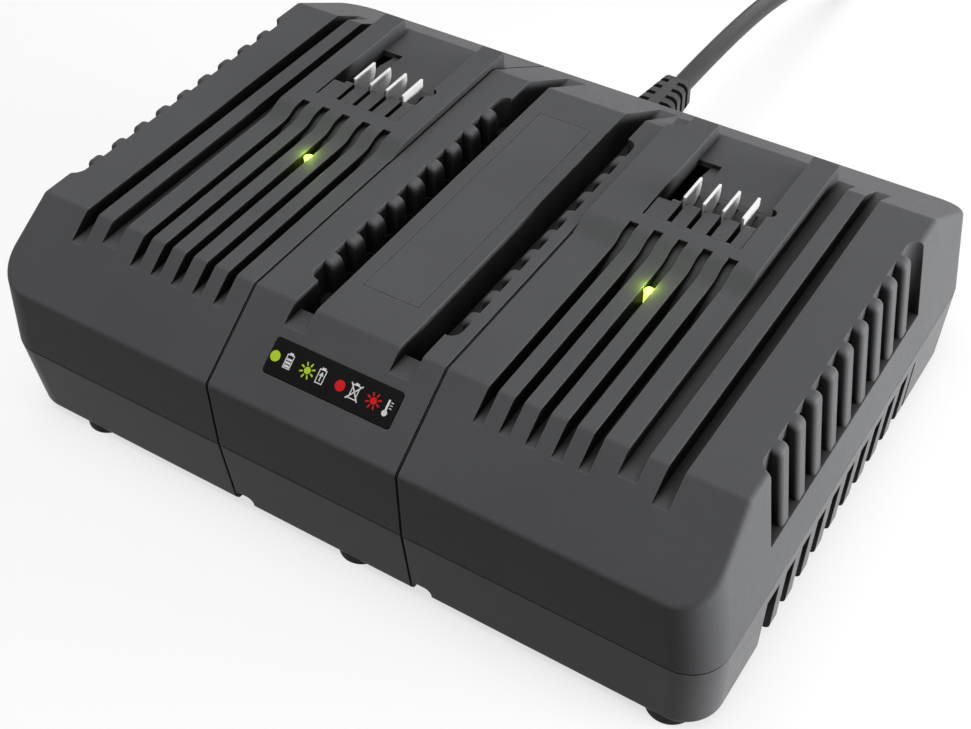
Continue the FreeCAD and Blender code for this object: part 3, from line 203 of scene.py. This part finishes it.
def simple_material(name, base, rough, metallic=0.0, grain=900.0, spread=0.12, depth=0.00003, stretch=None,
                    shine=0.5):
    """A grained finish for metals, rubber and boards; stretch draws the grain out along one axis."""
    mat, tree, shader = new_material(name)
    coords = object_coords(tree)
    if stretch:
        mapping = tree.nodes.new("ShaderNodeMapping")
        mapping.inputs["Scale"].default_value = stretch
        tree.links.new(coords, mapping.inputs["Vector"])
        coords = mapping.outputs["Vector"]
    fine = noise(tree, coords, grain, 4.0, 0.6)
    slow = noise(tree, coords, grime_scale, 3.0, 0.5)
    low = [c * (1.0 - spread) for c in base]
    high = [min(c * (1.0 + spread), 1.0) for c in base]
    colour = mix_colour(tree, ramp(tree, slow, 0.3, 0.7, 0.0, 1.0), low, high)
    colour = mix_colour(tree, ramp(tree, fine, 0.3, 0.75, 0.0, 0.5), colour, low)
    tree.links.new(colour, shader.inputs["Base Color"])
    roughness = ramp(tree, fine, 0.3, 0.7, max(rough - 0.08, 0.03), rough + 0.08)
    tree.links.new(roughness, shader.inputs["Roughness"])
    shader.inputs["Metallic"].default_value = metallic
    shader.inputs["Specular IOR Level"].default_value = shine
    bump = tree.nodes.new("ShaderNodeBump")
    bump.inputs["Strength"].default_value = 0.5
    bump.inputs["Distance"].default_value = depth
    tree.links.new(fine, bump.inputs["Height"])
    tree.links.new(bump.outputs["Normal"], shader.inputs["Normal"])
    return mat


def blade_metal(name, base):
    """Tinned strip, drawn along its length, with bright sheared edges."""
    mat, tree, shader = new_material(name)
    mapping = tree.nodes.new("ShaderNodeMapping")
    mapping.inputs["Scale"].default_value = (1.0, 0.12, 1.0)
    tree.links.new(object_coords(tree), mapping.inputs["Vector"])
    drawn = noise(tree, mapping.outputs["Vector"], 1400.0, 4.0, 0.6)
    mask, rounded = edge_mask(tree, 0.0003)
    colour = mix_colour(tree, ramp(tree, drawn, 0.3, 0.7, 0.0, 1.0), base, [c * 1.12 for c in base])
    colour = mix_colour(tree, mask, colour, [0.92, 0.92, 0.91])
    tree.links.new(colour, shader.inputs["Base Color"])
    tree.links.new(ramp(tree, drawn, 0.3, 0.7, 0.3, 0.42), shader.inputs["Roughness"])
    shader.inputs["Metallic"].default_value = 0.4
    tree.links.new(rounded, shader.inputs["Normal"])
    return mat


def lens_material(name, colour, strength):
    """A lit lens: bright in the middle, tinted and dimmer at the rim."""
    mat, tree, shader = new_material(name)
    coords = object_coords(tree)
    layer = tree.nodes.new("ShaderNodeLayerWeight")
    layer.inputs["Blend"].default_value = 0.35
    core = [min(c + 0.25, 1.0) for c in colour]
    tint = mix_colour(tree, layer.outputs["Facing"], core, colour)
    cell = noise(tree, coords, 900.0, 2.0, 0.5)
    tint = mix_colour(tree, ramp(tree, cell, 0.4, 0.7, 0.0, 0.25), tint, colour)
    tree.links.new(tint, shader.inputs["Emission Color"])
    shader.inputs["Emission Strength"].default_value = strength
    tree.links.new(tint, shader.inputs["Base Color"])
    shader.inputs["Roughness"].default_value = 0.18
    return mat


def board_material(name):
    """Green solder mask with faint tracks."""
    mat, tree, shader = new_material(name)
    coords = object_coords(tree)
    tracks = tree.nodes.new("ShaderNodeTexVoronoi")
    tracks.inputs["Scale"].default_value = 160.0
    tracks.distance = "CHEBYCHEV"
    tree.links.new(coords, tracks.inputs["Vector"])
    lines = ramp(tree, tracks.outputs["Distance"], 0.3, 0.36, 0.0, 1.0)
    fine = noise(tree, coords, 700.0)
    colour = mix_colour(tree, lines, [0.03, 0.13, 0.06], [0.02, 0.09, 0.045])
    colour = mix_colour(tree, ramp(tree, fine, 0.4, 0.8, 0.0, 0.4), colour, [0.05, 0.17, 0.08])
    tree.links.new(colour, shader.inputs["Base Color"])
    tree.links.new(ramp(tree, fine, 0.3, 0.7, 0.28, 0.42), shader.inputs["Roughness"])
    return mat


# Finishes, one for each of the record's slots

finishes = {
    "housing": moulded_plastic("housing_plastic", [0.084, 0.0853, 0.0885], 0.5),
    "housing_dark": moulded_plastic("tray_plastic", [0.08, 0.0812, 0.0842], 0.34, reach=0.005),
    "panel": moulded_plastic("panel_plastic", [0.084, 0.0853, 0.089], 0.46, 3400.0, 0.00002, shine=0.08),
    "status_film": moulded_plastic("status_film", [0.006, 0.0057, 0.0058], 0.34, 3800.0, 0.00001,
                                   edge=2.2, edge_radius=0.0003, shine=0.05),
    "insert": moulded_plastic("insert_plastic", [0.078, 0.079, 0.082], 0.5, 3000.0, 0.00003,
                              edge=1.8, edge_radius=0.0003, shine=0.08),
    "clear_guide": simple_material("clear_guide", [0.7, 0.72, 0.71], 0.2),
    "lens": lens_material("lens_glow", [0.66, 0.9, 0.03], 1.2),
    "contact": blade_metal("contact_tin", [0.7, 0.7, 0.7]),
    "rubber": simple_material("foot_rubber", [0.022, 0.022, 0.023], 0.7, grain=1500.0, spread=0.2,
                              depth=0.00005, shine=0.15),
    "cord": simple_material("cord_jacket", [0.026, 0.026, 0.027], 0.4, grain=1600.0, spread=0.15,
                            depth=0.00002, shine=0.16),
    "steel": simple_material("zinc_steel", [0.55, 0.55, 0.56], 0.34, 1.0),
    "board": board_material("solder_mask"),
    "ferrite": simple_material("core_ferrite", [0.05, 0.05, 0.052], 0.5, 0.3),
    "winding": simple_material("winding_tape", [0.45, 0.33, 0.06], 0.35, grain=600.0, spread=0.2,
                               depth=0.00005, stretch=(1.0, 1.0, 6.0)),
    "can": simple_material("can_sleeve", [0.05, 0.06, 0.16], 0.28),
    "film_can": simple_material("film_case", [0.5, 0.42, 0.12], 0.4),
    "aluminium": simple_material("extruded_aluminium", [0.7, 0.7, 0.71], 0.32, 1.0, grain=1200.0, spread=0.08,
                                 depth=0.00002, stretch=(1.0, 1.0, 0.1)),
    "glass": simple_material("fuse_glass", [0.6, 0.66, 0.66], 0.1),
}

slot_of = {s["node"]: s["material_slot"] for s in frame["record"]["subparts"]}
for name, obj in nodes.items():
    finish = finishes[slot_of[name]]
    if not obj.data.materials:
        obj.data.materials.append(finish)
    for place in obj.material_slots:
        place.material = finish


def dress(obj, slot_name):
    obj.data.materials.append(finishes[slot_name])
    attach(obj, "root")
    return obj


# Mains cord: the route's points, then the coil's turns as more points of the same line

route = [
    cord_exit,
    (0.0, 196.0, cord_exit[2]),
    (1.0, 260.0, 31.0),
    (5.0, 302.0, 11.0),
    (10.0, 331.0, cord_radius),
    (10.0, 350.0, cord_radius),
]


def coil_points():
    """Points round each half turn, wound inwards on the floor and outwards on top."""
    half = coil_step / 2
    inwards = [coil_first_radius - half * i for i in range(coil_turns_in)]
    climb = coil_first_radius - half * coil_turns_in
    outwards = [climb + half / 2 + coil_climb_clearance + half * i for i in range(coil_turns_out)]
    low, high = cord_radius, cord_radius + coil_step
    levels = [low] * (coil_turns_in + 1) + [high] * (coil_turns_out + 1) + [plug_axis_z]
    radii = inwards + [climb] + outwards + [coil_last_radius]
    start_y = route[-1][1] + 2 * cord_radius
    x, heading = route[-1][0], 1
    steps = coil_points_per_turn
    points = []
    for i, radius in enumerate(radii):
        reach = radius / math.cos(math.pi / steps / 2)
        centre = x - heading * radius
        for k in range(steps):
            share = (k + 0.5) / steps
            turn = math.pi * share
            rise = share * share * (3 - 2 * share)
            z = levels[i] + (levels[i + 1] - levels[i]) * rise
            along, across = reach * math.cos(turn), reach * math.sin(turn)
            points.append((centre + heading * along, start_y + heading * across, z))
        x -= 2 * heading * radius
        heading = -heading
    points.append((x, start_y - 2 * cord_radius, plug_axis_z))
    return points


curve = bpy.data.curves.new("mains_cord_line", "CURVE")
curve.dimensions = "3D"
curve.bevel_depth = cord_radius * MM
curve.bevel_resolution = 6
curve.resolution_u = 8
curve.use_fill_caps = True
line = curve.splines.new("NURBS")
cord_points = route + coil_points()
line.points.add(len(cord_points) - 1)
for point, (x, y, z) in zip(line.points, cord_points):
    point.co = (x * MM, y * MM, z * MM, 1.0)
line.order_u = 3
line.use_endpoint_u = True
cord = bpy.data.objects.new("mains_cord_jacket", curve)
bpy.context.collection.objects.link(cord)
dress(cord, "cord")
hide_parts("mains_cord", "cord_coil")


# Status panel's printed signs: plain dots, sunbursts, batteries and a thermometer

crease = Matrix.Translation(Vector((0.0, front_crease_y * MM, deck_z * MM)))
slope = crease @ Matrix.Rotation(slope_angle, 4, "X")


def ink(name, colour, glow=0.0):
    mat, tree, shader = new_material(name)
    coords = object_coords(tree)
    fine = noise(tree, coords, 2600.0)
    low = [c * 0.88 for c in colour]
    printed = mix_colour(tree, ramp(tree, fine, 0.3, 0.7, 0.0, 1.0), low, colour)
    tree.links.new(printed, shader.inputs["Base Color"])
    shader.inputs["Roughness"].default_value = 0.35
    shader.inputs["Specular IOR Level"].default_value = 0.15
    # Painted glow: the coloured inks give off a faint light of their own, though print gives none.
    if glow:
        shader.inputs["Emission Color"].default_value = (*colour, 1.0)
        shader.inputs["Emission Strength"].default_value = glow
    return mat


inks = {
    "white": ink("ink_white", [0.8, 0.8, 0.78]),
    "green": ink("ink_green", [0.42, 0.6, 0.025], 0.12),
    "red": ink("ink_red", [0.62, 0.008, 0.01], 0.1),
}
print_lift = 0.34
print_thickness = 0.05
row_y = -17.75  # down the slope from its crease
battery_half_width = 1.35
battery_half_height = 2.3
battery_line = 0.32
battery_cap = 0.55
burst_rays = 8
burst_core = 0.42  # as shares of the burst's radius
burst_gap = 0.55
burst_ray_width = 0.5


def polygon(bm, points):
    """A thin raised plate with this outline, in millimetres on the slope."""
    low = [bm.verts.new((x * MM, y * MM, print_lift * MM - print_thickness * MM)) for x, y in points]
    high = [bm.verts.new((x * MM, y * MM, print_lift * MM)) for x, y in points]
    count = len(points)
    bm.faces.new(high)
    bm.faces.new(list(reversed(low)))
    for i in range(count):
        j = (i + 1) % count
        bm.faces.new((low[i], low[j], high[j], high[i]))


def disc_points(x, y, radius, count=28):
    turns = [2 * math.pi * i / count for i in range(count)]
    return [(x + radius * math.cos(turn), y + radius * math.sin(turn)) for turn in turns]


def bar_points(x0, y0, x1, y1, width):
    dx, dy = x1 - x0, y1 - y0
    length = math.hypot(dx, dy)
    nx, ny = -dy / length * width / 2, dx / length * width / 2
    return [(x0 + nx, y0 + ny), (x0 - nx, y0 - ny), (x1 - nx, y1 - ny), (x1 + nx, y1 + ny)]


def rect_points(x0, x1, y0, y1):
    return [(x0, y0), (x1, y0), (x1, y1), (x0, y1)]


def sign(name, ink_name, shapes):
    bm = bmesh.new()
    for points in shapes:
        polygon(bm, points)
    bmesh.ops.recalc_face_normals(bm, faces=bm.faces)
    mesh = bpy.data.meshes.new(name)
    bm.to_mesh(mesh)
    bm.free()
    mesh.transform(slope)
    obj = bpy.data.objects.new(name, mesh)
    bpy.context.collection.objects.link(obj)
    mesh.materials.append(inks[ink_name])
    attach(obj, "root")
    return obj


def battery(x, y):
    """An upright battery outline with its cap."""
    w, h, t, cap = battery_half_width, battery_half_height, battery_line, battery_cap
    return [
        rect_points(x - w, x - w + t, y - h, y + h),
        rect_points(x + w - t, x + w, y - h, y + h),
        rect_points(x - w + t, x + w - t, y - h, y - h + t),
        rect_points(x - w + t, x + w - t, y + h - t, y + h),
        rect_points(x - w / 2, x + w / 2, y + h, y + h + cap),
    ]


def sunburst(x, y, radius):
    shapes = [disc_points(x, y, radius * burst_core)]
    for i in range(burst_rays):
        turn = 2 * math.pi * (i + 0.5) / burst_rays
        c, s = radius * math.cos(turn), radius * math.sin(turn)
        shapes.append(bar_points(x + c * burst_gap, y + s * burst_gap, x + c, y + s, burst_ray_width))
    return shapes


# Places along the panel, in millimetres from its middle
green_dot_x, full_x, green_burst_x, charging_x = -21.35, -16.3, -9.15, -4.1
red_dot_x, fault_x, red_burst_x, thermometer_x = 3.05, 8.3, 15.25, 20.1
dot_radius = 1.75
burst_radius = 2.7

sign("sign_green_dot", "green", [disc_points(green_dot_x, row_y, dot_radius)])
levels = [row_y - 1.8 + 1.05 * i for i in range(3)]
sign("sign_battery_full", "white", battery(full_x, row_y) + [
    rect_points(full_x - 0.9, full_x + 0.9, y, y + 0.7) for y in levels])
sign("sign_green_burst", "green", sunburst(green_burst_x, row_y, burst_radius))
sign("sign_battery_charging", "white", battery(charging_x, row_y) + [
    bar_points(charging_x, row_y - 1.5, charging_x, row_y + 0.5, 0.4),
    [(charging_x - 0.8, row_y + 0.2), (charging_x + 0.8, row_y + 0.2), (charging_x, row_y + 1.5)]])
sign("sign_red_dot", "red", [disc_points(red_dot_x, row_y, dot_radius)])
sign("sign_battery_fault", "white", battery(fault_x, row_y) + [
    bar_points(fault_x - 2.1, row_y - 2.6, fault_x + 2.1, row_y + 2.6, 0.42),
    bar_points(fault_x - 2.1, row_y + 2.6, fault_x + 2.1, row_y - 2.6, 0.42)])
sign("sign_red_burst", "red", sunburst(red_burst_x, row_y, burst_radius))
marks = [row_y - 0.2 + 0.9 * i for i in range(3)]
stem = rect_points(thermometer_x - 0.35, thermometer_x + 0.35, row_y - 1.4, row_y + 2.4)
sign("sign_thermometer", "white", [disc_points(thermometer_x, row_y - 1.9, 0.95), stem] + [
    rect_points(thermometer_x + 0.8, thermometer_x + 1.6, y, y + 0.3) for y in marks])


# Green lights: a little light that spills from each lens

spill_lift = 1.6
for side in (-1, 1):
    data = bpy.data.lights.new("lens_spill", "POINT")
    data.energy = 0.0034
    data.color = (0.62, 1.0, 0.05)
    data.shadow_soft_size = 0.0015
    spill = bpy.data.objects.new("lens_spill", data)
    spill.location = (side * light_x * MM, light_y * MM, (deck_z + spill_lift) * MM)
    bpy.context.collection.objects.link(spill)


# Floor: white to the camera and in reflections, greyer to diffuse light, with the object's shadow

def seen_rays(tree):
    """1 for rays from the camera, from gloss and through glass, and 0 for the rest."""
    path = tree.nodes.new("ShaderNodeLightPath")
    seen = math_node(tree, "MAXIMUM", path.outputs["Is Camera Ray"], path.outputs["Is Glossy Ray"])
    return math_node(tree, "MAXIMUM", seen, path.outputs["Is Transmission Ray"])


reach = 6.0  # metres from the middle to each side
corners = [(-reach, -reach, 0), (reach, -reach, 0), (reach, reach, 0), (-reach, reach, 0)]
floor_mesh = bpy.data.meshes.new("floor")
floor_mesh.from_pydata(corners, [], [(0, 1, 2, 3)])
floor = bpy.data.objects.new("floor", floor_mesh)
bpy.context.collection.objects.link(floor)
floor_mat, tree, shader = new_material("floor_paper")
tree.nodes.remove(shader)
seen = seen_rays(tree)
pale = mix_colour(tree, seen, [0.08, 0.08, 0.08], [0.3, 0.3, 0.3])
paper = tree.nodes.new("ShaderNodeBsdfDiffuse")
tree.links.new(pale, paper.inputs["Color"])
lift = tree.nodes.new("ShaderNodeEmission")
glow = mix_colour(tree, seen, [0.0, 0.0, 0.0], [0.7, 0.7, 0.7])
tree.links.new(glow, lift.inputs["Color"])
both = tree.nodes.new("ShaderNodeAddShader")
tree.links.new(paper.outputs[0], both.inputs[0])
tree.links.new(lift.outputs[0], both.inputs[1])
tree.links.new(both.outputs[0], tree.nodes["Material Output"].inputs["Surface"])
floor_mesh.materials.append(floor_mat)

world = bpy.data.worlds.new("studio")
bpy.context.scene.world = world
world.use_nodes = True
tree = world.node_tree
back = tree.nodes["Background"]
seen = seen_rays(tree)
tree.links.new(mix_colour(tree, seen, [0.06, 0.06, 0.062], [1.0, 1.0, 1.0]), back.inputs["Color"])
back.inputs["Strength"].default_value = 1.0


def area_light(name, place, target, size, energy):
    data = bpy.data.lights.new(name, "AREA")
    data.shape = "RECTANGLE"
    data.size, data.size_y = size
    data.energy = energy
    obj = bpy.data.objects.new(name, data)
    obj.location = place
    obj.rotation_mode = "QUATERNION"
    obj.rotation_quaternion = (Vector(target) - Vector(place)).to_track_quat("-Z", "Y")
    bpy.context.collection.objects.link(obj)


area_light("top_softbox", (-0.1, -0.22, 1.3), (0.0, 0.0, 0.05), (0.9, 0.8), 13.4)
area_light("right_softbox", (1.05, 0.33, 0.16), (0.1, 0.0, 0.04), (0.8, 0.26), 24.0)
area_light("back_softbox", (0.0, 1.3, 0.5), (0.0, 0.0, 0.04), (1.2, 0.5), 5.0)


# Camera

scene = bpy.context.scene
scene.view_settings.view_transform = "Standard"
camera_data = bpy.data.cameras.new("camera")
frame_width = 971  # pixels
focal_pixels = 1493.39
camera_data.sensor_width = 36.0
camera_data.lens = focal_pixels / frame_width * camera_data.sensor_width
camera_data.clip_start = 0.02
camera = bpy.data.objects.new("camera", camera_data)
right = Vector((0.84312, 0.53737, -0.01943))
up = Vector((-0.36602, 0.6, 0.71136))
forward = Vector((-0.39392, 0.59265, -0.70256))
turn = Matrix((right, up, -forward)).transposed().to_4x4()
camera.matrix_world = Matrix.Translation(Vector((0.21212, -0.32436, 0.38651))) @ turn
bpy.context.collection.objects.link(camera)
scene.camera = camera

bpy.context.view_layer.update()
